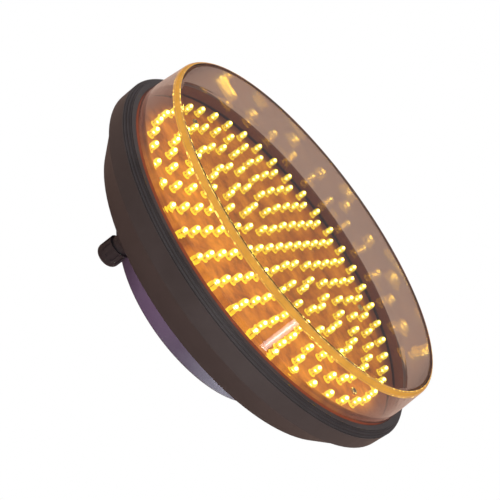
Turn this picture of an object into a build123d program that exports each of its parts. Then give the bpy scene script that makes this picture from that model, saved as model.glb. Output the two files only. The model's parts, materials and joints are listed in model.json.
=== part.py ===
from build123d import *
import math
import os

# Amber LED lamp module for a 300 mm traffic signal aspect.
# Frame: millimetres, origin at the centre of the drum's flat rear face, +Z towards the lens,
# and the cable gland on the -Y side.

# ---------------------------------------------------------------- heights, stacked from the rear face
drum_height = 37.0            # rear face to the rear of the pan's back plate
pan_height = 22.3             # back plate to the parting line between rubber skirt and band
flange_rise = 10.1            # parting line to the top of the housing flange
lens_depth = 39.6             # housing flange to the front of the lens

# ---------------------------------------------------------------- radii, stacked inwards from the rim
rim_radius = 150.0            # rubber rim, the 300 mm size of the lamp
rim_wall = 2.8                # rubber outside the housing flange, with its gap
pan_taper = 14.5              # how much the pan narrows towards its back plate
skirt_wall = 3.0              # rubber round the rear edge of the pan
plate_shelf = 35.0            # flat ring of the back plate, from the pan's edge to the drum
drum_taper = 11.0
lens_taper = 3.4

# ---------------------------------------------------------------- walls and fits
housing_wall = 3.0
lens_wall = 3.0
rubber_gap = 0.2              # rubber rim to the parts it grips, radially
flange_gap = 0.4              # lens flange set in from the edge of the housing flange
lip_gap = 0.3                 # rubber lip to the lens collar
board_gap = 0.3               # LED board edge to its recess
seal_gap = 0.1                # seal ring to the walls of its groove
screw_gap = 0.05              # screw shank to its pilot hole
clear_hole_gap = 0.3          # screw shank to the board it passes through
running_gap = 0.1             # sliding and turning parts of the gland

# ---------------------------------------------------------------- lens
lens_corner = 4.0
lens_inner_corner = 2.0
lens_flange_height = 2.6
lens_flange_width = 4.8
lens_collar_step = 0.6
lens_collar_height = 9.2

# ---------------------------------------------------------------- housing
flange_height = 4.9
flange_overhang = 2.7
drum_edge = 3.0
ledge_width = 3.6
ledge_height = 2.0
seal_groove_width = 2.4
seal_groove_depth = 1.2
seal_inset = 2.8              # flange outer edge to the groove
seal_height = 2.0
groove_land = 2.4             # between the seal groove and the LED board's recess

# ---------------------------------------------------------------- rubber rim
rim_band_step = 1.3           # the band stands proud of the skirt by this
rim_front_drop = 4.4          # from the lip down to the band's front edge
rim_lip_width = 3.7
rim_lip_height = 3.2          # rubber on top of the lens flange
rim_slope_ribs = 3
rib_height = 0.5

# ---------------------------------------------------------------- LED board and LEDs
board_thickness = 1.6
board_recess = 3.3            # flange top down to the ledge that the board lies on
ring_count = 7
ring_pitch = 17.36
leds_per_ring_step = 6        # ring 1 has six LEDs, ring 2 twelve, and so on
outer_ring_leds = 41          # but the last ring has one fewer than the rule gives
led_ray_angle = 49.2          # the ray on which rings 1 to 6 start
outer_ring_angle = 0.13
led_standoff = 0.8            # board to the LED's flange
led_leg = 0.5
led_leg_spacing = 2.54
led_radius = 2.5
led_flange_radius = 2.9
led_flange_height = 1.0
led_height = 8.6

resistor_count = 24
resistor_ring = 5.5           # the resistors' circle, counted in ring pitches
resistor_radius = 1.2
resistor_length = 6.5
resistor_lead = 0.35
resistor_standoff = 0.4

# ---------------------------------------------------------------- screws and bosses
post_count = 6
post_angle = 18.0
post_radius = 4.0
screw_radius = 1.25
screw_head_radius = 2.75
screw_head_height = 2.0
screw_grip = 7.0
pilot_depth = 9.0

# ---------------------------------------------------------------- driver (power supply) in the drum
driver_length = 120.0
driver_width = 86.0
driver_boss_height = 8.0
driver_boss_inset = 8.0
driver_corner = 6.0

# ---------------------------------------------------------------- cable gland
gland_inset = 14.0            # gland axis to the outer edge of the back plate
gland_bore = 4.2              # radius of the passage for the cable
gland_stem_radius = 6.0
gland_stem_length = 11.0
gland_hex_flats = 18.0
gland_hex_height = 5.0
gland_neck_radius = 6.9
gland_neck_length = 10.8
washer_height = 1.2
locknut_height = 4.5
insert_radius = 5.6
seal_sleeve_length = 5.5
claw_length = 6.6
claw_slots = 6
nut_radius = 8.5
nut_length = 8.0
nut_dome = 6.0
nut_grips = 12
nut_grip_depth = 0.5
nut_standoff = 5.8            # hex flange to the nut's near face, cable not clamped
nut_travel_in = 5.0           # how far the nut screws on from there
nut_end_wall = 3.4
sleeve_spare = 0.7            # room left behind the rubber sleeve when the nut is tight

breather_radius = 6.0
breather_stem = 3.0
breather_place = 58.0

# ---------------------------------------------------------------- worked out from the above
plate_rear = drum_height
plate_front = plate_rear + housing_wall
gasket_step_height = plate_rear + pan_height
flange_top = gasket_step_height + flange_rise
lens_front = flange_top + lens_depth
flange_bottom = flange_top - flange_height
flange_radius = rim_radius - rim_wall
collar_radius = flange_radius - flange_overhang
pan_rear_radius = collar_radius - pan_taper
skirt_rear_radius = pan_rear_radius + skirt_wall
drum_front_radius = pan_rear_radius - plate_shelf
drum_rear_radius = drum_front_radius - drum_taper
board_bottom = flange_top - board_recess
board_top = board_bottom + board_thickness
groove_outer = flange_radius - seal_inset
groove_inner = groove_outer - seal_groove_width
groove_bottom = flange_top - seal_groove_depth
recess_radius = groove_inner - groove_land
lens_seat = groove_bottom + seal_height
lens_flange_top = lens_seat + lens_flange_height
lens_flange_radius = flange_radius - flange_gap
lens_collar_radius = lens_flange_radius - lens_flange_width
lens_foot_radius = lens_collar_radius - lens_collar_step
lens_rim_radius = lens_foot_radius - lens_taper
lens_collar_top = lens_flange_top + lens_collar_height
rim_lip_top = lens_flange_top + rim_lip_height
rim_band_top = rim_lip_top - rim_front_drop
gland_centre_radius = pan_rear_radius - gland_inset
drum_slope = (drum_front_radius - drum_rear_radius) / plate_rear
drum_wall_across = housing_wall * math.hypot(1.0, drum_slope)
pan_slope = (collar_radius - pan_rear_radius) / (gasket_step_height - plate_rear)
pan_wall_across = housing_wall * math.hypot(1.0, pan_slope)
post_circle = ring_pitch * (ring_count - 0.5)
driver_bottom = housing_wall + driver_boss_height
driver_top = driver_bottom + board_thickness
gland_place = Location((0, -gland_centre_radius, plate_rear), (180, 0, 0))   # +Z of the gland points out


def turned(points, rounds=()):
    """A ring or disc turned about Z from an outline of (radius, height) points."""
    outline = make_face(Polyline(*points, close=True))
    for x, y, radius in rounds:
        corner = outline.vertices().sort_by_distance((x, y))[0]
        outline = fillet(corner, radius)
    return revolve(Plane.XZ * outline, Axis.Z)


def tube(outer, inner, low, high):
    return turned([(inner, low), (outer, low), (outer, high), (inner, high)])


def rod(radius, low, high):
    return turned([(0, low), (radius, low), (radius, high), (0, high)])


def block(size_x, size_y, low, high):
    return Pos(0, 0, low) * Box(size_x, size_y, high - low, align=(Align.CENTER, Align.CENTER, Align.MIN))


def around(count, radius, start=0.0):
    """Places on a circle, each turned to face outwards."""
    return [Rot(0, 0, start + 360.0 * i / count) * Pos(radius, 0, 0) for i in range(count)]


def at_places(places, shape):
    return Compound(children=[place * shape for place in places])


def pan_inner_radius(height):
    """Inside of the pan's sloping wall."""
    return pan_rear_radius + pan_slope * (height - plate_rear) - pan_wall_across


def drum_inner_radius(height):
    return drum_rear_radius + drum_slope * height - drum_wall_across


# ---------------------------------------------------------------- lens, rubber rim, seal
def lens_cover():
    inner_foot = lens_foot_radius - lens_wall
    plate_inside = lens_front - lens_wall
    inner_rim = lens_rim_radius - lens_wall
    outline = [
        (inner_foot, lens_seat), (lens_flange_radius, lens_seat), (lens_flange_radius, lens_flange_top),
        (lens_collar_radius, lens_flange_top), (lens_collar_radius, lens_collar_top),
        (lens_foot_radius, lens_collar_top), (lens_rim_radius, lens_front), (0, lens_front),
        (0, plate_inside), (inner_rim, plate_inside), (inner_foot, lens_collar_top),
    ]
    rounds = [(lens_rim_radius, lens_front, lens_corner), (inner_rim, plate_inside, lens_inner_corner)]
    return turned(outline, rounds)


def rubber_gasket():
    """The rim that grips both flanges: lip, ribbed slope, band and skirt."""
    lip_radius = lens_collar_radius + lip_gap
    channel_radius = flange_radius + rubber_gap
    slope_start = (lip_radius + rim_lip_width, rim_lip_top)
    slope_end = (rim_radius, rim_band_top)
    skirt_front_radius = rim_radius - rim_band_step
    skirt_gap = rubber_gap * math.hypot(1.0, pan_slope)
    outline = [(lip_radius, lens_flange_top), (lip_radius, rim_lip_top), slope_start]
    run = (slope_end[0] - slope_start[0], slope_end[1] - slope_start[1])
    length = math.hypot(*run)
    out = (-run[1] / length * rib_height, run[0] / length * rib_height)
    for i in range(rim_slope_ribs):
        for share, lift in ((0.3, 0), (0.45, 1), (0.6, 1), (0.75, 0)):
            along = (i + share) / rim_slope_ribs
            outline.append((slope_start[0] + run[0] * along - out[0] * (1 - lift),
                            slope_start[1] + run[1] * along - out[1] * (1 - lift)))
    outline += [
        slope_end, (rim_radius, gasket_step_height), (skirt_front_radius, gasket_step_height),
        (skirt_rear_radius, plate_rear), (pan_rear_radius + skirt_gap, plate_rear),
        (collar_radius + skirt_gap, gasket_step_height), (collar_radius + skirt_gap, flange_bottom),
        (channel_radius, flange_bottom), (channel_radius, lens_flange_top),
    ]
    return turned(outline)


def lens_seal_ring():
    return tube(groove_outer - seal_gap, groove_inner + seal_gap, groove_bottom, lens_seat)


# ---------------------------------------------------------------- rear housing
def housing_shell():
    ledge_radius = recess_radius - ledge_width
    ledge_bottom = board_bottom - ledge_height
    gusset_height = collar_radius - pan_wall_across - ledge_radius
    outline = [
        (0, 0), (drum_rear_radius, 0), (drum_front_radius, plate_rear), (pan_rear_radius, plate_rear),
        (collar_radius, gasket_step_height), (collar_radius, flange_bottom),
        (flange_radius, flange_bottom), (flange_radius, flange_top),
        (groove_outer, flange_top), (groove_outer, groove_bottom),
        (groove_inner, groove_bottom), (groove_inner, flange_top),
        (recess_radius, flange_top), (recess_radius, board_bottom),
        (ledge_radius, board_bottom), (ledge_radius, ledge_bottom),
        (ledge_radius + gusset_height, ledge_bottom - gusset_height),
        (pan_inner_radius(plate_front), plate_front), (drum_inner_radius(plate_front), plate_front),
        (drum_inner_radius(housing_wall), housing_wall), (0, housing_wall),
    ]
    return turned(outline, [(drum_rear_radius, 0, drum_edge)])


def driver_boss_places():
    return [Pos(x, y, 0)
            for x in (-driver_length / 2 + driver_boss_inset, driver_length / 2 - driver_boss_inset)
            for y in (-driver_width / 2 + driver_boss_inset, driver_width / 2 - driver_boss_inset)]


def post_places():
    return around(post_count, post_circle, post_angle)


def rear_housing():
    shell = housing_shell()
    pilot = screw_radius + screw_gap
    for place in post_places():
        shell += place * rod(post_radius, plate_rear + housing_wall / 2, board_bottom)
    for place in driver_boss_places():
        shell += place * rod(post_radius, housing_wall / 2, driver_bottom)
    for place in post_places():
        shell -= place * rod(pilot, board_bottom - pilot_depth, board_bottom)
    for place in driver_boss_places():
        shell -= place * rod(pilot, driver_bottom - pilot_depth, driver_bottom)
    gland_hole = rod(gland_stem_radius + running_gap, -2 * housing_wall, housing_wall)
    shell -= gland_place * gland_hole
    shell -= Pos(breather_place, 0, 0) * (
        rod(breather_radius + running_gap, 0, housing_wall / 2)
        + rod(breather_stem + running_gap, 0, housing_wall))
    return shell


def breather_plug():
    """Vent plug: a flat cap in a recess of the rear wall, a stem and a barb inside."""
    cap = rod(breather_radius, 0.3, housing_wall / 2)
    stem = tube(breather_stem, 1.2, 0.3, housing_wall + 3.0)
    barb = tube(breather_stem + 0.8, breather_stem - 0.5, housing_wall, housing_wall + 1.5)
    vents = [place * rod(0.5, 0, housing_wall / 2) for place in around(4, breather_radius - 1.6)]
    plug = cap + stem + barb
    for vent in vents:
        plug -= vent
    return Pos(breather_place, 0, 0) * plug


# ---------------------------------------------------------------- LED board and what is on it
def led_board():
    board = rod(recess_radius - board_gap, board_bottom, board_top)
    hole = rod(screw_radius + clear_hole_gap, board_bottom, board_top)
    for place in post_places():
        board -= place * hole
    return board


def led():
    """Round LED with a flange, standing on its two legs."""
    seat = board_top + led_standoff
    tip = seat + led_height
    outline = [
        (0, seat), (led_flange_radius, seat), (led_flange_radius, seat + led_flange_height),
        (led_radius, seat + led_flange_height), (led_radius, tip), (0, tip),
    ]
    body = turned(outline, [(led_radius, tip, led_radius * 0.98)])
    for side in (-1, 1):
        body += Pos(side * led_leg_spacing / 2, 0, 0) * block(led_leg, led_leg, board_top, seat)
    return body


def led_ring(ring):
    count, start = leds_per_ring_step * ring, led_ray_angle
    if ring == ring_count:
        count, start = outer_ring_leds, outer_ring_angle
    return at_places(around(count, ring_pitch * ring, start), led())


def led_resistors():
    """Series resistors lying on the rear of the LED board, one for each string."""
    height = board_bottom - resistor_standoff - resistor_radius
    body = Pos(0, 0, height) * Rot(90, 0, 0) * Cylinder(resistor_radius, resistor_length)
    reach = resistor_length / 2 + 1.2
    wire = Pos(0, 0, height) * Rot(90, 0, 0) * Cylinder(resistor_lead, 2 * reach)
    part = body + wire
    for side in (-1, 1):
        part += Pos(0, side * reach, 0) * rod(resistor_lead, height, board_bottom)
    return at_places(around(resistor_count, ring_pitch * resistor_ring), part)


def screw(top):
    """Pan-head self-tapping screw whose head sits on the height given."""
    shank = rod(screw_radius, top - board_thickness - screw_grip, top)
    head = turned([(0, top), (screw_head_radius, top), (screw_head_radius, top + screw_head_height),
                   (0, top + screw_head_height)],
                  [(screw_head_radius, top + screw_head_height, screw_head_height * 0.6)])
    slot_top = top + screw_head_height
    slot = block(3.2, 0.7, slot_top - 1.1, slot_top) + block(0.7, 3.2, slot_top - 1.1, slot_top)
    return shank + head - slot


# ---------------------------------------------------------------- driver board and its parts
def driver_board():
    board = block(driver_length, driver_width, driver_bottom, driver_top)
    board = fillet(board.edges().filter_by(Axis.Z), driver_corner)
    for place in driver_boss_places():
        board -= place * rod(screw_radius + clear_hole_gap, driver_bottom, driver_top)
    return board


core_width, core_depth, core_height = 42.0, 14.0, 36.0
core_leg = 12.0
window_width, window_height = 9.0, 24.0
winding_gap = 0.4
transformer_place = Pos(-18, 2, driver_top)


def transformer_core():
    core = block(core_width, core_depth, 0, core_height)
    low = (core_height - window_height) / 2
    for side in (-1, 1):
        x = side * (core_leg + window_width) / 2
        core -= Pos(x, 0, 0) * block(window_width, core_depth, low, low + window_height)
    return transformer_place * core


def transformer_winding():
    """Bobbin and winding round the core's middle leg."""
    low = (core_height - window_height) / 2 + winding_gap
    high = low + window_height - 2 * winding_gap
    half = core_leg / 2 + window_width - winding_gap
    reach = 2 * half
    coil = block(reach, core_depth + 12.0, low, high)
    coil = fillet(coil.edges().filter_by(Axis.Z), 3.0)
    coil -= block(core_leg + 2 * winding_gap, core_depth + 2 * winding_gap, low, high)
    return transformer_place * coil


capacitor_radius = 8.0
capacitor_height = 30.0
capacitor_spacing = 19.0
capacitor_count = 3


def bulk_capacitors():
    crimp = capacitor_height * 0.12
    can = turned([
        (0, driver_top), (capacitor_radius, driver_top), (capacitor_radius, driver_top + crimp),
        (capacitor_radius - 0.6, driver_top + crimp + 0.8), (capacitor_radius, driver_top + crimp + 1.6),
        (capacitor_radius, driver_top + capacitor_height), (0, driver_top + capacitor_height)],
        [(capacitor_radius, driver_top + capacitor_height, 1.0)])
    places = [Pos(capacitor_spacing * (i - 1), -28, 0) for i in range(capacitor_count)]
    return at_places(places, can)


def bridge_rectifier():
    body = block(15, 15, driver_top, driver_top + 4.5)
    body -= rod(1.8, driver_top, driver_top + 4.5)
    return Pos(38, -27, 0) * chamfer(body.edges().filter_by(Axis.Z).sort_by(Axis.X)[-1], 2.5)


def fuse():
    """Glass fuse lying in two spring clips."""
    axis_height = driver_top + 5.0
    glass = Pos(0, 0, axis_height) * Rot(0, 90, 0) * Cylinder(2.4, 20)
    parts = glass
    for side in (-1, 1):
        cap = Pos(side * 7.5, 0, axis_height) * Rot(0, 90, 0) * Cylinder(2.6, 5)
        clip = Pos(side * 7.5, 0, 0) * block(4, 6.4, driver_top, driver_top + 5.5)
        parts += cap + clip
    return Pos(-38, 31, 0) * parts


def surge_varistor():
    disc = Pos(0, 0, driver_top + 7.5) * Rot(90, 0, 0) * Cylinder(7.0, 4.0)
    legs = [Pos(x, 0, 0) * rod(0.4, driver_top, driver_top + 3.0) for x in (-3.0, 3.0)]
    return Pos(-16, 33, 0) * (disc + legs[0] + legs[1])


def line_choke():
    ring = turned([(5, driver_top), (11, driver_top), (11, driver_top + 8), (5, driver_top + 8)],
                  [(11, driver_top + 8, 2.5), (5, driver_top + 8, 2.0)])
    return Pos(4, 31, 0) * ring


sink_width, sink_base, sink_fin, sink_height, sink_fins = 36.0, 3.0, 9.0, 28.0, 7
sink_place = Pos(20, 8, driver_top) * Rot(0, 0, 90)


def heat_sink():
    sink = block(sink_width, sink_base, 0, sink_height)
    spacing = (sink_width - 1.6) / (sink_fins - 1)
    for i in range(sink_fins):
        x = -sink_width / 2 + 0.8 + spacing * i
        sink += Pos(x, -(sink_base + sink_fin) / 2, 0) * block(1.6, sink_fin, 0, sink_height)
    return sink_place * sink


def switch_transistor():
    """Power transistor flat against the heat sink, on its tab."""
    face = sink_base / 2
    tab = Pos(0, face + 0.65, 0) * block(10, 1.3, 5, 20.5)
    body = Pos(0, face + 2.3, 0) * block(10, 4.6, 5, 14.5)
    part = tab + body
    for x in (-2.5, 0, 2.5):
        part += Pos(x, face + 2.6, 0) * block(0.9, 0.6, 0, 5)
    hole = Pos(0, face + 0.65, 17.6) * Rot(90, 0, 0) * Cylinder(1.8, 1.3)
    return sink_place * (part - hole)


def terminal_block():
    """Three-way screw terminal for the supply wires."""
    body = block(10, 22, driver_top, driver_top + 12)
    body = chamfer(body.edges().filter_by(Axis.Y).group_by(Axis.Z)[-1], 2.0)
    for y in (-7, 0, 7):
        body -= Pos(0, y, 0) * rod(2.2, driver_top + 7, driver_top + 12)
        body -= Pos(-3.5, y, driver_top + 4) * Box(3.0, 4.5, 4.5)
    return Pos(-51, 0, 0) * body


header_place = Pos(46, 8, 0)
lead_radius = 1.0
lead_spacing = 4.0
header_height = 8.0
lead_sleeve = 2.5


def output_header():
    body = block(7, 11, driver_top, driver_top + header_height)
    for side in (-1, 1):
        body -= Pos(0, side * lead_spacing / 2, 0) * rod(
            lead_radius + 0.1, driver_top + header_height - lead_sleeve, driver_top + header_height)
    return header_place * body


def output_leads():
    """Two wires from the driver's header up to the rear of the LED board, on one smooth route."""
    start = driver_top + header_height - lead_sleeve
    rise = board_bottom - start
    route = [(0, start), (0, start + 0.33 * rise), (9, start + 0.66 * rise), (9, board_bottom)]
    turn = math.atan2(9, 0.33 * rise)
    bend = 0.45 * 0.33 * rise / math.tan(turn / 2)
    path = Plane.XZ * FilletPolyline(*route, radius=bend)
    wire = sweep(Plane.XY.offset(start) * Circle(lead_radius), path)
    places = [header_place * Pos(0, side * lead_spacing / 2, 0) for side in (-1, 1)]
    return at_places(places, wire)


# ---------------------------------------------------------------- cable gland, built along its own axis
hex_start = washer_height
neck_start = hex_start + gland_hex_height
neck_end = neck_start + gland_neck_length
nut_start = neck_start + nut_standoff
nut_end = nut_start + nut_length + nut_dome
insert_bottom = nut_end - nut_end_wall  # where the nut's inner shoulder bears on the claw
insert_top = insert_bottom - claw_length - seal_sleeve_length
bore_floor = insert_top - nut_travel_in - sleeve_spare


def hex_prism(flats, low, high):
    side = RegularPolygon(flats / 2, 6, major_radius=False)
    return Pos(0, 0, low) * extrude(side, high - low)


def gland_body():
    body = hex_prism(gland_hex_flats, hex_start, neck_start)
    body = body & turned([(0, hex_start), (gland_hex_flats * 0.56, hex_start),
                          (gland_hex_flats * 0.56, neck_start - 1), (gland_hex_flats * 0.5, neck_start),
                          (0, neck_start)])
    body += rod(gland_stem_radius, -gland_stem_length, hex_start)
    body += rod(gland_neck_radius, neck_start, neck_end)
    body -= rod(gland_bore, -gland_stem_length, neck_end)
    body -= rod(insert_radius + running_gap, bore_floor, neck_end)
    return gland_place * body


def gland_washer():
    return gland_place * tube(gland_hex_flats * 0.5, gland_stem_radius + running_gap, 0, washer_height)


def gland_locknut():
    low, high = -housing_wall - locknut_height, -housing_wall
    nut = hex_prism(gland_hex_flats, low, high)
    nut -= rod(gland_stem_radius + screw_gap, low, high)
    return gland_place * nut


def gland_seal():
    sleeve = tube(insert_radius - 0.1, gland_bore, insert_top, insert_top + seal_sleeve_length)
    return gland_place * sleeve


def gland_claw():
    """Slotted ring that the nut's shoulder pushes inwards."""
    low = insert_top + seal_sleeve_length
    ring = tube(insert_radius, gland_bore, low, insert_bottom)
    slot_width = 1.0
    for i in range(claw_slots):
        cut = Pos(insert_radius, 0, 0) * block(2 * gland_bore, slot_width, low + 2.0, insert_bottom)
        ring -= Rot(0, 0, 360.0 * i / claw_slots) * cut
    return gland_place * ring


def gland_dome_nut():
    """Dome nut with shallow flats round it, a rounded end and a round cable entry."""
    shoulder = nut_start + nut_length
    bore = gland_neck_radius + running_gap
    body = turned([(0, nut_start), (nut_radius, nut_start), (nut_radius, nut_end), (0, nut_end)],
                  [(nut_radius, nut_end, nut_radius - gland_bore - 0.3)])
    flat_reach = nut_radius - nut_grip_depth
    grip = Pos(flat_reach, 0, 0) * block(3.0, 1.5, nut_start + 0.8, shoulder - 0.4)
    grip = Pos(1.5, 0, 0) * grip
    for i in range(nut_grips):
        body -= Rot(0, 0, 360.0 * i / nut_grips) * grip
    body -= rod(bore, nut_start, insert_bottom + running_gap)
    body -= rod(gland_bore, insert_bottom + running_gap, nut_end)
    return gland_place * body


def build_all():
    parts = {
        "lens_cover": lens_cover(), "rubber_gasket": rubber_gasket(), "lens_seal_ring": lens_seal_ring(),
        "rear_housing": rear_housing(), "breather_plug": breather_plug(), "led_board": led_board(),
        "led_centre": led(), "led_resistors": led_resistors(),
        "board_screws": at_places(post_places(), screw(board_top)),
        "driver_screws": at_places(driver_boss_places(), screw(driver_top)),
        "driver_board": driver_board(), "transformer_core": transformer_core(),
        "transformer_winding": transformer_winding(), "bulk_capacitors": bulk_capacitors(),
        "bridge_rectifier": bridge_rectifier(), "fuse": fuse(), "surge_varistor": surge_varistor(),
        "line_choke": line_choke(), "heat_sink": heat_sink(), "switch_transistor": switch_transistor(),
        "terminal_block": terminal_block(), "output_header": output_header(), "output_leads": output_leads(),
        "gland_body": gland_body(), "gland_washer": gland_washer(), "gland_locknut": gland_locknut(),
        "gland_seal": gland_seal(), "gland_claw": gland_claw(), "gland_dome_nut": gland_dome_nut(),
    }
    for ring in range(1, ring_count + 1):
        parts[f"led_ring_{ring}"] = led_ring(ring)
    return parts


os.makedirs("parts", exist_ok=True)
for node, shape in build_all().items():
    export_step(shape, f"parts/{node}.step")
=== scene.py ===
import json
import math

import bmesh
import bpy
from mathutils import Matrix, Vector


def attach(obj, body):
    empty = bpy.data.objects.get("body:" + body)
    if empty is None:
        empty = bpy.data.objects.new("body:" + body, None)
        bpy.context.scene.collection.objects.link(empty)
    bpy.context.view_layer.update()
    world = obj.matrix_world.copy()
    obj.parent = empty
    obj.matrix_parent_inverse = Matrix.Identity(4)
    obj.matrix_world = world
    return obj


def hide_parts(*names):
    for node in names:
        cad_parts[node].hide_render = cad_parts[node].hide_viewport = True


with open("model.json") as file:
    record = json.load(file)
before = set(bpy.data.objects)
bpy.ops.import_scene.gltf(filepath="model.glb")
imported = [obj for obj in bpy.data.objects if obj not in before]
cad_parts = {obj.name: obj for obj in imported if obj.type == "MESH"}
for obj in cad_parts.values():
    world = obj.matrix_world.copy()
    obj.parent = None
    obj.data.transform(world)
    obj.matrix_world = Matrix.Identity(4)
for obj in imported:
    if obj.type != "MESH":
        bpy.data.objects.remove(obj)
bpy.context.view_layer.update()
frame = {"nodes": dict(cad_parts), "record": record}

MM = 0.001
TURN = 2.0 * math.pi
LATHE_SEGMENTS = 256
WHITE = (1.0, 1.0, 1.0)

# ------------------------------------------------------------------ camera
VIEW_AZIMUTH = math.radians(31.6)
VIEW_ELEVATION = math.radians(21.36)
VIEW_ROLL = math.radians(53.8)
CAMERA_PLACE = (0.3405, -0.5727, 0.3169)
FOCAL_MM = 71.9
SENSOR_MM = 36.0


def make_camera():
    data = bpy.data.cameras.new("camera")
    data.lens = FOCAL_MM
    data.sensor_width = SENSOR_MM
    data.clip_start = 0.01
    data.clip_end = 100.0
    camera = bpy.data.objects.new("camera", data)
    turn = Matrix.Rotation(VIEW_AZIMUTH, 4, "Z")
    tilt = Matrix.Rotation(math.pi / 2 - VIEW_ELEVATION, 4, "X")
    roll = Matrix.Rotation(VIEW_ROLL, 4, "Z")
    camera.matrix_world = Matrix.Translation(CAMERA_PLACE) @ turn @ tilt @ roll
    bpy.context.scene.collection.objects.link(camera)
    bpy.context.scene.camera = camera


make_camera()


# ------------------------------------------------------------------ node helpers
class Nodes:
    """A material's node tree, with short ways to add and join nodes."""

    def __init__(self, name):
        self.material = bpy.data.materials.new(name)
        self.material.use_nodes = True
        self.tree = self.material.node_tree
        self.tree.nodes.clear()
        self.output = self.tree.nodes.new("ShaderNodeOutputMaterial")

    def add(self, kind, **settings):
        node = self.tree.nodes.new("ShaderNode" + kind)
        for key, value in settings.items():
            setattr(node, key, value)
        return node

    def join(self, source, target, name):
        output = source if isinstance(source, bpy.types.NodeSocket) else source.outputs[0]
        self.tree.links.new(output, target.inputs[name])

    def ramp(self, source, stops):
        node = self.add("ValToRGB")
        elements = node.color_ramp.elements
        while len(elements) < len(stops):
            elements.new(0.5)
        for element, (place, colour) in zip(elements, stops):
            element.position = place
            element.color = (*colour, 1.0)
        self.join(source, node, "Fac")
        return node

    def levels(self, source, stops):
        """A ramp of plain levels instead of colours."""
        return self.ramp(source, [(place, (level,) * 3) for place, level in stops])

    def share(self, source, low, high, start=0.0, end=1.0, shape="LINEAR"):
        """Where a value stands between low and high, as a number from start to end."""
        node = self.add("MapRange", interpolation_type=shape)
        for name, value in (("From Min", low), ("From Max", high), ("To Min", start), ("To Max", end)):
            node.inputs[name].default_value = value
        self.join(source, node, "Value")
        return node

    def blend(self, share, first, second):
        """Colour between two others, by share."""
        node = self.add("MixRGB", blend_type="MIX")
        self.join(share, node, "Fac")
        self.join(first, node, "Color1")
        if isinstance(second, tuple):
            node.inputs["Color2"].default_value = (*second, 1.0)
        else:
            self.join(second, node, "Color2")
        return node

    def noise(self, scale, detail=4.0, rough=0.55):
        node = self.add("TexNoise")
        node.inputs["Scale"].default_value = scale
        node.inputs["Detail"].default_value = detail
        node.inputs["Roughness"].default_value = rough
        self.join(self.add("TexCoord").outputs["Object"], node, "Vector")
        return node.outputs["Fac"]

    def bump(self, height, strength, distance=0.0004):
        node = self.add("Bump")
        node.inputs["Strength"].default_value = strength
        node.inputs["Distance"].default_value = distance
        self.join(height, node, "Height")
        return node.outputs["Normal"]

    def emission(self, colour, strength):
        """A glow, whose colour is a fixed one or comes from another node."""
        node = self.add("Emission")
        if isinstance(colour, tuple):
            node.inputs["Color"].default_value = (*colour, 1.0)
        else:
            self.join(colour, node, "Color")
        node.inputs["Strength"].default_value = strength
        return node

    def mix(self, share, first, second):
        """One shader turning into another, by a fixed share or by another node."""
        node = self.add("MixShader")
        if isinstance(share, float):
            node.inputs[0].default_value = share
        else:
            self.join(share, node, 0)
        self.join(first, node, 1)
        self.join(second, node, 2)
        return node

    def finish(self, shader):
        self.tree.links.new(shader.outputs[0], self.output.inputs["Surface"])
        return self.material


def moulded(name, colours, roughness, grain=900.0, bump=0.05, patch=35.0, metallic=0.0):
    """Moulded plastic or rubber: patchy colour and gloss, and a fine grain in the surface."""
    n = Nodes(name)
    shader = n.add("BsdfPrincipled")
    broad = n.noise(patch, 5.0, 0.6)
    fine = n.noise(grain, 2.0, 0.5)
    n.join(n.ramp(broad, [(0.3, colours[0]), (0.72, colours[1])]), shader, "Base Color")
    n.join(n.levels(broad, [(0.25, roughness[0]), (0.75, roughness[1])]), shader, "Roughness")
    n.join(n.bump(fine, bump), shader, "Normal")
    shader.inputs["Metallic"].default_value = metallic
    return n.finish(shader)


def quiet(material):
    """Leaves a glowing material out of the direct light search."""
    material.cycles.emission_sampling = "NONE"
    return material


# ------------------------------------------------------------------ mesh helpers
def lathe(name, outline, tags=(0,)):
    """A mesh turned about Z from (radius, height) points in millimetres; tags pick a material per edge."""
    count = len(outline)
    verts = []
    for i in range(LATHE_SEGMENTS):
        angle = TURN * i / LATHE_SEGMENTS
        verts += [(r * MM * math.cos(angle), r * MM * math.sin(angle), z * MM) for r, z in outline]
    faces = []
    for i in range(LATHE_SEGMENTS):
        j = (i + 1) % LATHE_SEGMENTS
        for a in range(count):
            b = (a + 1) % count
            faces.append((i * count + a, j * count + a, j * count + b, i * count + b))
    mesh = bpy.data.meshes.new(name)
    mesh.from_pydata(verts, [], faces)
    for number, face in enumerate(mesh.polygons):
        face.material_index = tags[number % len(tags)]
    return finish_mesh(name, mesh)


def finish_mesh(name, mesh, sharp_degrees=35.0):
    """Closes the seams, turns the faces outwards, smooths what isn't a sharp edge and adds the piece."""
    work = bmesh.new()
    work.from_mesh(mesh)
    bmesh.ops.remove_doubles(work, verts=work.verts, dist=1e-7)
    bmesh.ops.dissolve_degenerate(work, edges=work.edges, dist=1e-7)
    bmesh.ops.recalc_face_normals(work, faces=work.faces)
    work.to_mesh(mesh)
    work.free()
    mesh.shade_smooth()
    mesh.set_sharp_from_angle(angle=math.radians(sharp_degrees))
    piece = bpy.data.objects.new(name, mesh)
    bpy.context.scene.collection.objects.link(piece)
    return piece


def arc(centre, radius, start, end, steps):
    """Points on an arc, angles in degrees, in the outline's plane."""
    points = []
    for i in range(steps + 1):
        angle = math.radians(start + (end - start) * i / steps)
        points.append((centre[0] + radius * math.cos(angle), centre[1] + radius * math.sin(angle)))
    return points


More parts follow.
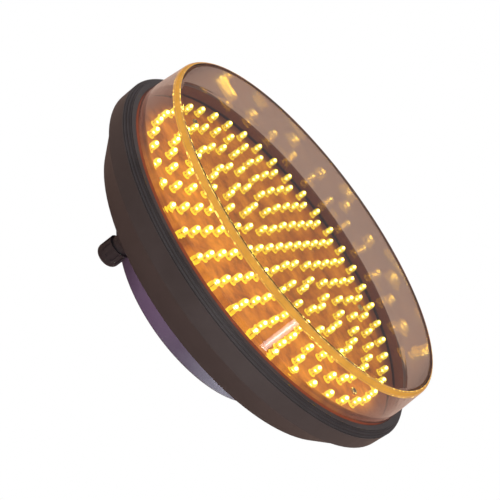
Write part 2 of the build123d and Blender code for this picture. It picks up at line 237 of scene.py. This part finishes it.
# ------------------------------------------------------------------ sizes in millimetres, as in the part
BOARD_TOP = 67.7
RING_COUNT = 7
RING_PITCH = 17.36
LED_RAY = 49.2
OUTER_RING_LEDS = 41
OUTER_RING_ANGLE = 0.13
LED_STANDOFF = 0.8
LED_LEG_SPACING = 2.54
LED_RADIUS = 2.5
LED_FLANGE_RADIUS = 2.9
LED_FLANGE = 1.0
LED_HEIGHT = 8.6
LED_SEAT = BOARD_TOP + LED_STANDOFF
LED_LEG_RADIUS = 0.3
LED_LEG_TOP = 2.8             # legs reach this far into the epoxy
LED_TIP_RADIUS = 1.15         # hot spot in the dome
LED_TIP_HEIGHT = 7.2
BOARD_PAINTED_GLOW_RADIUS = 119.0     # painted glow of the LEDs' amber light covers the board out to here
BOARD_PAINTED_GLOW_END_RADIUS = 134.0     # and has faded here

LENS_FRONT = 109.0
LENS_SEAT = 70.2
LENS_WALL = 3.0
LENS_FLANGE_TOP = 72.8
LENS_FLANGE_RADIUS = 146.8
LENS_COLLAR_RADIUS = 142.0
LENS_COLLAR_TOP = 82.0
LENS_FOOT_RADIUS = 141.4
LENS_RIM_RADIUS = 138.0
LENS_CORNER = 4.0
LENS_INNER_CORNER = 2.0
LENS_CORNER_SET_IN = 0.89     # corner's centre from the wall's line, as a share of its radius: the wall leans

# ------------------------------------------------------------------ strengths of the LEDs' light
LED_BODY_SEEN = 1.5
LED_BODY_MIRRORED = 5.0
LED_CORE_SEEN = 40.0
LED_CORE_MIRRORED = 110.0
LED_SPILL = 0.5               # as it falls on matt surfaces, weak enough to keep them free of speckles


# ------------------------------------------------------------------ lens
def lens_material():
    """Clear polycarbonate; lamps shine through it without a caustic search."""
    n = Nodes("clear_lens")
    glass = n.add("BsdfPrincipled")
    glass.inputs["Base Color"].default_value = (0.985, 0.965, 0.93, 1.0)
    glass.inputs["Roughness"].default_value = 0.0
    glass.inputs["IOR"].default_value = 1.58
    glass.inputs["Transmission Weight"].default_value = 1.0
    clear = n.add("BsdfTransparent")
    clear.inputs["Color"].default_value = (0.9, 0.88, 0.85, 1.0)
    path = n.add("LightPath")
    either = n.add("Math", operation="MAXIMUM")
    n.join(path.outputs["Is Shadow Ray"], either, 0)
    n.join(path.outputs["Is Diffuse Ray"], either, 1)
    return n.finish(n.mix(either, glass, clear))


def held(points, gap=0.4):
    """The same outline with a point close to both ends of every long run, so that flats reflect as flats."""
    result = []
    for here, ahead in zip(points, points[1:] + points[:1]):
        result.append(here)
        run = math.dist(here, ahead)
        if run > 4 * gap and max(here[0], ahead[0]) > gap:
            for share in (gap / run, 1 - gap / run):
                result.append(tuple(a + (b - a) * share for a, b in zip(here, ahead)))
    return result


def lens_outline():
    """Flange, collar, leaning wall and front plate with a rounded rim; the collar's step is softened."""
    inner_foot = LENS_FOOT_RADIUS - LENS_WALL
    inside = LENS_FRONT - LENS_WALL
    inner_rim = LENS_RIM_RADIUS - LENS_WALL
    points = [(inner_foot, LENS_SEAT), (LENS_FLANGE_RADIUS, LENS_SEAT)]
    points += [(LENS_FLANGE_RADIUS, LENS_FLANGE_TOP), (LENS_COLLAR_RADIUS, LENS_FLANGE_TOP)]
    points += [(LENS_COLLAR_RADIUS, LENS_COLLAR_TOP - 4.0), (LENS_COLLAR_RADIUS - 0.2, LENS_COLLAR_TOP - 2.0)]
    points.append((LENS_FOOT_RADIUS, LENS_COLLAR_TOP))
    lean = math.degrees(math.atan2(LENS_FOOT_RADIUS - LENS_RIM_RADIUS, LENS_FRONT - LENS_COLLAR_TOP))
    centre = (LENS_RIM_RADIUS - LENS_CORNER * LENS_CORNER_SET_IN, LENS_FRONT - LENS_CORNER)
    points += arc(centre, LENS_CORNER, lean, 90, 10)
    points += [(0.0, LENS_FRONT), (0.0, inside)]
    centre = (inner_rim - LENS_INNER_CORNER * LENS_CORNER_SET_IN, inside - LENS_INNER_CORNER)
    points += arc(centre, LENS_INNER_CORNER, 90, lean, 6)
    points.append((inner_foot, LENS_COLLAR_TOP))
    return points


def make_lens():
    lens = lathe("lens", held(lens_outline()))
    lens.data.materials.append(lens_material())
    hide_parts("lens_cover")
    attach(lens, "root")


def lens_edge_material(name, colour, painted_glints=0.0):
    """Amber light caught in the lens's edge, painted as a glow: an even glow, with bright painted glints
    where asked for.
    """
    n = Nodes(name)
    dimmer = tuple(c * 0.9 for c in colour)
    brighter = tuple(min(c * 1.1, 1.0) for c in colour)
    tint = n.ramp(n.noise(120.0, 3.0, 0.6), [(0.3, dimmer), (0.7, brighter)])
    dots = n.add("Math", operation="MULTIPLY")
    n.join(n.noise(340.0, 1.0, 0.4), dots, 0)
    n.join(n.levels(n.noise(22.0, 2.0, 0.5), [(0.4, 0.75), (0.58, 1.0)]), dots, 1)
    bright = n.levels(dots, [(0.46, 0.0), (0.62, painted_glints)])
    return quiet(n.finish(n.emission(n.blend(bright, tint, (2.2, 1.5, 0.28)), 1.0)))


def edge_strip(name, outer, thickness, material, back):
    """A thin strip inside the lens wall: the painted glow on its outer face, a plain back towards the inside.
    """
    inner = [(r - thickness, z) for r, z in reversed(outer)]
    strip = lathe(name, outer + inner, tags=[0] * (len(outer) - 1) + [1] * (len(inner) + 1))
    strip.data.materials.append(material)
    strip.data.materials.append(back)
    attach(strip, "root")


def make_lens_edge():
    """Light guided in the front plate, painted as glowing strips at its rim and at the foot of the wall."""
    rim, top, foot = LENS_RIM_RADIUS, LENS_FRONT, LENS_FLANGE_TOP
    amber = (0.80, 0.38, 0.06)
    haze = moulded("lens_haze", [(0.34, 0.26, 0.22), (0.4, 0.31, 0.27)], (0.5, 0.6))
    # painted glow of LED light along the rim, with painted glints as brighter spots
    glow = lens_edge_material("lens_rim_painted_glow", amber)
    painted_glints = lens_edge_material("lens_rim_beads", amber, 1.0)
    band = [(rim - 1.4, top - 0.55), (rim - 0.8, top - 1.3), (rim - 0.5, top - 2.3), (rim - 0.3, top - 3.6)]
    edge_strip("lens_rim_glow", band, 0.3, glow, haze)
    edge_strip("lens_rim_low_beads", [(rim - 0.2, top - 3.7), (rim - 0.05, top - 4.6)], 0.25, painted_glints, haze)
    edge_strip("lens_rim_high_beads", [(rim - 2.3, top - 0.22), (rim - 1.6, top - 0.45)], 0.25, painted_glints, haze)
    # painted glow of LED light in the wall's foot, dimmer on the strip's back
    umber = lens_edge_material("lens_foot_painted_glow", (0.26, 0.062, 0.03))
    shade = lens_edge_material("lens_foot_shade", (0.13, 0.04, 0.025))
    near = LENS_FOOT_RADIUS + 0.1
    edge_strip("lens_foot_glow", [(near, foot + 1.6), (near, foot + 4.7)], 0.3, umber, shade)
    # painted glow of LED light on both faces of the strip inside the foot
    outside = lens_edge_material("lens_foot_outer", (0.10, 0.03, 0.02))
    inside = lens_edge_material("lens_foot_inner", (0.13, 0.038, 0.024))
    deep = LENS_FOOT_RADIUS - LENS_WALL + 0.35
    edge_strip("lens_foot_inside", [(deep, LENS_SEAT + 0.05), (deep, foot + 3.4)], 0.2, outside, inside)


# ------------------------------------------------------------------ LEDs
def lit(n, colour, seen, mirrored_colour, mirrored):
    """An LED's light: as seen, as mirrored in the clear lens, and as it falls on matt surfaces."""
    path = n.add("LightPath")
    in_glass = n.add("Math", operation="MULTIPLY")
    n.join(path.outputs["Is Reflection Ray"], in_glass, 0)
    n.join(path.outputs["Is Singular Ray"], in_glass, 1)
    shown = n.mix(in_glass, n.emission(colour, seen), n.emission(mirrored_colour, mirrored))
    return n.mix(path.outputs["Is Diffuse Ray"], shown, n.emission(colour, LED_SPILL))


def led_body_material():
    """Clear epoxy filled with amber light: bright flange, dim foot, bright cup and bright dome."""
    n = Nodes("led_epoxy")
    height = n.add("SeparateXYZ")
    n.join(n.add("TexCoord").outputs["Object"], height, 0)
    share = n.share(height.outputs["Z"], LED_SEAT * MM, (LED_SEAT + LED_HEIGHT) * MM)
    colour = n.ramp(share, [(0.0, (1.0, 0.62, 0.03)), (0.12, (1.0, 0.66, 0.04)), (0.2, (0.9, 0.36, 0.04)),
                            (0.3, (0.95, 0.5, 0.05)), (0.42, (1.0, 0.72, 0.06)), (1.0, (1.0, 0.8, 0.08))])
    fill = n.levels(share, [(0.0, 0.85), (0.11, 0.8), (0.15, 0.3), (0.27, 0.3),
                            (0.36, 0.7), (0.52, 0.7), (0.7, 0.6), (1.0, 0.6)])
    lamp = lit(n, colour, LED_BODY_SEEN, (1.0, 0.46, 0.015), LED_BODY_MIRRORED)
    gloss = n.add("BsdfGlossy")
    gloss.inputs["Roughness"].default_value = 0.08
    return quiet(n.finish(n.mix(0.04, n.mix(fill, n.add("BsdfTransparent"), lamp), gloss)))


def led_core_material():
    """The hot spots of a lit LED, in its dome and at its chip's cup."""
    n = Nodes("led_core")
    return quiet(n.finish(lit(n, (1.0, 0.68, 0.13), LED_CORE_SEEN, (1.0, 0.55, 0.02), LED_CORE_MIRRORED)))


def turned_into(verts, faces, tags, outline, place, segments, tag):
    """Adds a turned shell at a place on the board, with a material index for its faces."""
    first = len(verts)
    count = len(outline)
    for i in range(segments):
        angle = TURN * i / segments
        verts += [(place[0] + r * math.cos(angle), place[1] + r * math.sin(angle), z) for r, z in outline]
    for i in range(segments):
        j = (i + 1) % segments
        for a in range(count - 1):
            faces.append((first + i * count + a, first + j * count + a,
                          first + j * count + a + 1, first + i * count + a + 1))
            tags.append(tag)


def ball(radius, centre_height, steps=6):
    return [(radius * math.sin(math.pi * i / steps), centre_height - radius * math.cos(math.pi * i / steps))
            for i in range(steps + 1)]


def led_places(ring):
    """Places of a ring's LEDs; ring 0 is the centre, and the outer ring has its own count and start."""
    if ring == 0:
        return [(0.0, 0.0)]
    count, start = 6 * ring, LED_RAY
    if ring == RING_COUNT:
        count, start = OUTER_RING_LEDS, OUTER_RING_ANGLE
    angles = [math.radians(start + 360.0 * i / count) for i in range(count)]
    return [(ring * RING_PITCH * math.cos(angle), ring * RING_PITCH * math.sin(angle)) for angle in angles]


def led_outline():
    """Flange with eased edges, straight body and dome."""
    ease = 0.15
    points = [(0.0, 0.0), (LED_FLANGE_RADIUS - ease, 0.0), (LED_FLANGE_RADIUS, ease)]
    points += [(LED_FLANGE_RADIUS, LED_FLANGE - ease), (LED_FLANGE_RADIUS - ease, LED_FLANGE)]
    points.append((LED_RADIUS, LED_FLANGE))
    return points + arc((0.0, LED_HEIGHT - LED_RADIUS), LED_RADIUS, 0, 90, 7)


def make_led_ring(ring, materials):
    verts, faces, tags = [], [], []
    body = [(r, LED_SEAT + z) for r, z in led_outline()]
    tip = ball(LED_TIP_RADIUS, LED_SEAT + LED_TIP_HEIGHT)
    cup = [(0.0, LED_SEAT + 3.9), (0.95, LED_SEAT + 3.75), (0.7, LED_SEAT + 3.05), (0.0, LED_SEAT + 2.95)]
    leg_top = LED_SEAT + LED_LEG_TOP
    leg = [(0.0, BOARD_TOP), (LED_LEG_RADIUS, BOARD_TOP), (LED_LEG_RADIUS, leg_top), (0.0, leg_top)]
    for place in led_places(ring):
        turned_into(verts, faces, tags, body, place, 18, 0)
        turned_into(verts, faces, tags, tip, place, 10, 1)
        turned_into(verts, faces, tags, cup, place, 10, 1)
        turn = math.atan2(place[1], place[0])
        for side in (-1, 1):
            reach = side * LED_LEG_SPACING / 2
            foot = (place[0] + reach * math.cos(turn), place[1] + reach * math.sin(turn))
            turned_into(verts, faces, tags, leg, foot, 6, 2)
    name = "led_centre" if ring == 0 else f"led_ring_{ring}"
    mesh = bpy.data.meshes.new("lit_" + name)
    mesh.from_pydata([Vector(v) * MM for v in verts], [], faces)
    for material in materials:
        mesh.materials.append(material)
    for face, tag in zip(mesh.polygons, tags):
        face.material_index = tag
    piece = finish_mesh("lit_" + name, mesh, 50.0)
    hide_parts(name)
    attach(piece, "root")


def make_leds():
    lead = moulded("led_lead", [(0.18, 0.1, 0.06), (0.3, 0.18, 0.1)], (0.3, 0.45))
    materials = [led_body_material(), led_core_material(), lead]
    for ring in range(RING_COUNT + 1):
        make_led_ring(ring, materials)


# ------------------------------------------------------------------ finishes of the CAD nodes
RUBBER_GRAIN = {"grain": 1400.0, "bump": 0.12}
HOUSING_GRAIN = {"grain": 500.0, "bump": 0.02, "patch": 14.0}


def board_material():
    """Solder mask with the LEDs' amber light painted on as a glow: warm among the rings, dark towards the
    edge.
    """
    n = Nodes("board_mask")
    place = n.add("SeparateXYZ")
    n.join(n.add("TexCoord").outputs["Object"], place, 0)
    flat = n.add("CombineXYZ")
    n.join(place.outputs["X"], flat, "X")
    n.join(place.outputs["Y"], flat, "Y")
    radius = n.add("VectorMath", operation="LENGTH")
    n.join(flat, radius, 0)
    inside = n.share(radius.outputs["Value"], BOARD_PAINTED_GLOW_RADIUS * MM, BOARD_PAINTED_GLOW_END_RADIUS * MM, 1.0, 0.0,
                     "SMOOTHSTEP")
    cloud = n.noise(48.0, 6.0, 0.7)
    warm = n.ramp(cloud, [(0.3, (0.20, 0.036, 0.008)), (0.46, (0.60, 0.15, 0.012)),
                          (0.7, (1.05, 0.36, 0.02))])
    dark = n.ramp(cloud, [(0.3, (0.09, 0.02, 0.012)), (0.7, (0.18, 0.042, 0.02))])
    shader = n.add("BsdfPrincipled")
    n.join(n.ramp(cloud, [(0.3, (0.10, 0.04, 0.02)), (0.7, (0.2, 0.09, 0.04))]), shader, "Base Color")
    n.join(n.levels(cloud, [(0.3, 0.55), (0.7, 0.75)]), shader, "Roughness")
    shader.inputs["Specular IOR Level"].default_value = 0.2
    # painted light: the LEDs' amber glow on the board, set as the mask's emission
    n.join(n.blend(inside, dark, warm), shader, "Emission Color")
    shader.inputs["Emission Strength"].default_value = 0.8
    n.join(n.bump(n.noise(700.0, 3.0), 0.1), shader, "Normal")
    return quiet(n.finish(shader))


def finishes():
    """A material for each slot: its two colours, its range of roughness and what else sets it apart."""
    looks = {
        "black_rubber": ([(0.070, 0.061, 0.064), (0.100, 0.087, 0.091)], (0.42, 0.58), RUBBER_GRAIN),
        "silicone_seal": ([(0.42, 0.4, 0.39), (0.5, 0.48, 0.46)], (0.4, 0.5), {}),
        "black_housing": ([(0.045, 0.028, 0.055), (0.085, 0.06, 0.10)], (0.16, 0.3), HOUSING_GRAIN),
        "black_nylon": ([(0.048, 0.038, 0.044), (0.072, 0.058, 0.066)], (0.3, 0.42), {}),
        "amber_led": ([(0.9, 0.5, 0.1), (1.0, 0.6, 0.15)], (0.1, 0.15), {}),
        "resistor_body": ([(0.55, 0.43, 0.28), (0.66, 0.53, 0.36)], (0.3, 0.4), {}),
        "zinc_screws": ([(0.6, 0.6, 0.58), (0.75, 0.75, 0.72)], (0.25, 0.4), {"metallic": 1.0}),
        "driver_board_green": ([(0.02, 0.16, 0.07), (0.04, 0.24, 0.11)], (0.3, 0.4), {}),
        "core_steel": ([(0.12, 0.12, 0.13), (0.2, 0.2, 0.2)], (0.4, 0.5), {"metallic": 0.8}),
        "winding_tape": ([(0.68, 0.52, 0.08), (0.8, 0.64, 0.14)], (0.3, 0.4), {}),
        "capacitor_sleeve": ([(0.03, 0.04, 0.08), (0.06, 0.07, 0.12)], (0.2, 0.3), {}),
        "component_black": ([(0.02, 0.02, 0.02), (0.04, 0.04, 0.04)], (0.45, 0.6), {}),
        "fuse_glass": ([(0.75, 0.78, 0.78), (0.85, 0.88, 0.88)], (0.05, 0.1), {}),
        "varistor_blue": ([(0.05, 0.14, 0.4), (0.1, 0.22, 0.55)], (0.4, 0.5), {}),
        "choke_winding": ([(0.42, 0.17, 0.05), (0.6, 0.27, 0.1)], (0.25, 0.35), {"metallic": 0.9}),
        "heat_sink_aluminium": ([(0.66, 0.67, 0.68), (0.78, 0.79, 0.8)], (0.3, 0.4), {"metallic": 1.0}),
        "terminal_green": ([(0.06, 0.34, 0.14), (0.12, 0.45, 0.2)], (0.3, 0.4), {}),
        "header_white": ([(0.8, 0.79, 0.74), (0.9, 0.89, 0.85)], (0.4, 0.5), {}),
        "lead_insulation": ([(0.5, 0.03, 0.02), (0.65, 0.06, 0.04)], (0.35, 0.45), {}),
    }
    made = {"board_mask": board_material()}
    for slot, (colours, roughness, more) in looks.items():
        made[slot] = moulded(slot, colours, roughness, **more)
    return made


def dress_nodes():
    slots = {s["node"]: s["material_slot"] for s in frame["record"]["subparts"]}
    made = finishes()
    for name, node in frame["nodes"].items():
        material = made.get(slots.get(name))
        if material and not node.hide_render:
            for place in node.material_slots:
                place.material = material


# ------------------------------------------------------------------ floor, world and lights
def make_floor():
    """A plain pale floor: white where the camera looks, and dimmer and warm in all it lights."""
    n = Nodes("floor")
    pale = n.add("BsdfPrincipled")
    pale.inputs["Base Color"].default_value = (0.56, 0.42, 0.35, 1.0)
    pale.inputs["Roughness"].default_value = 1.0
    pale.inputs["Specular IOR Level"].default_value = 0.0
    pale.inputs["Emission Color"].default_value = (0.13, 0.072, 0.056, 1.0)
    pale.inputs["Emission Strength"].default_value = 1.0
    shown = n.mix(n.add("LightPath").outputs["Is Camera Ray"], pale, n.emission(WHITE, 1.0))
    reach = 20.0
    corners = [(-reach, -reach, 0), (reach, -reach, 0), (reach, reach, 0), (-reach, reach, 0)]
    mesh = bpy.data.meshes.new("floor")
    mesh.from_pydata(corners, [], [(0, 1, 2, 3)])
    mesh.materials.append(n.finish(shown))
    floor = bpy.data.objects.new("floor", mesh)
    bpy.context.scene.collection.objects.link(floor)


def background(tree, colour, strength):
    node = tree.nodes.new("ShaderNodeBackground")
    node.inputs["Color"].default_value = (*colour, 1.0)
    node.inputs["Strength"].default_value = strength
    return node


def make_world():
    """White where the camera looks, and a dim room in all it lights."""
    world = bpy.data.worlds.new("studio")
    world.use_nodes = True
    bpy.context.scene.world = world
    tree = world.node_tree
    tree.nodes.clear()
    mix = tree.nodes.new("ShaderNodeMixShader")
    path = tree.nodes.new("ShaderNodeLightPath")
    tree.links.new(path.outputs["Is Camera Ray"], mix.inputs[0])
    tree.links.new(background(tree, (0.95, 0.86, 0.88), 0.11).outputs[0], mix.inputs[1])
    tree.links.new(background(tree, WHITE, 1.0).outputs[0], mix.inputs[2])
    output = tree.nodes.new("ShaderNodeOutputWorld")
    tree.links.new(mix.outputs[0], output.inputs["Surface"])


def softbox(name, place, target, size, power, colour=WHITE):
    data = bpy.data.lights.new(name, "AREA")
    data.shape = "RECTANGLE"
    data.size, data.size_y = size
    data.energy = power
    data.color = colour
    lamp = bpy.data.objects.new(name, data)
    aim = (Vector(target) - Vector(place)).to_track_quat("-Z", "Y")
    lamp.matrix_world = Matrix.Translation(place) @ aim.to_matrix().to_4x4()
    bpy.context.scene.collection.objects.link(lamp)
    return lamp


def linked(lamp, piece, state):
    """Lets a light fall on one piece alone, or keeps it and its mirror image off that piece."""
    group = bpy.data.collections.new(f"{lamp.name}_{state.lower()}")
    group.objects.link(piece)
    group.collection_objects[0].light_linking.link_state = state
    lamp.light_linking.receiver_collection = group


def drum_light(name, place, target, power, colour):
    """A small light low beside the drum, for the drum alone, out of sight."""
    lamp = softbox(name, place, target, (0.03, 0.02), power, colour)
    linked(lamp, frame["nodes"]["rear_housing"], "INCLUDE")
    return lamp


def make_lights():
    middle = (0.0, 0.0, 0.06)
    overhead = softbox("overhead", (-0.3, 0.3, 1.9), middle, (1.8, 1.8), 24.0)
    front = softbox("front", (1.4, -1.3, 1.0), middle, (0.9, 0.9), 10.0)
    for lamp in (overhead, front):
        linked(lamp, bpy.data.objects["lens"], "EXCLUDE")
    low = [drum_light("drum_sheen", (0.062, -0.170, 0.016), (0.034, -0.094, 0.018), 0.14, (1.0, 0.92, 0.95)),
           drum_light("drum_sky", (0.170, -0.030, 0.014), (0.095, -0.012, 0.016), 0.40, (0.66, 1.0, 0.72))]
    place, target = (0.426, -0.222, 0.036), (0.106, -0.092, 0.088)
    for i in range(4):    # nested, so that the streak they make in the lens has soft edges
        size = (0.004 + 0.009 * i, 0.040 + 0.016 * i)
        low.append(softbox(f"tube_{i}", place, target, size, 0.010 + 0.010 * i))
    for lamp in low:
        lamp.visible_camera = lamp.visible_transmission = False


make_lens()
make_lens_edge()
make_leds()
dress_nodes()
make_floor()
make_world()
make_lights()
bpy.context.scene.view_settings.view_transform = "Standard"
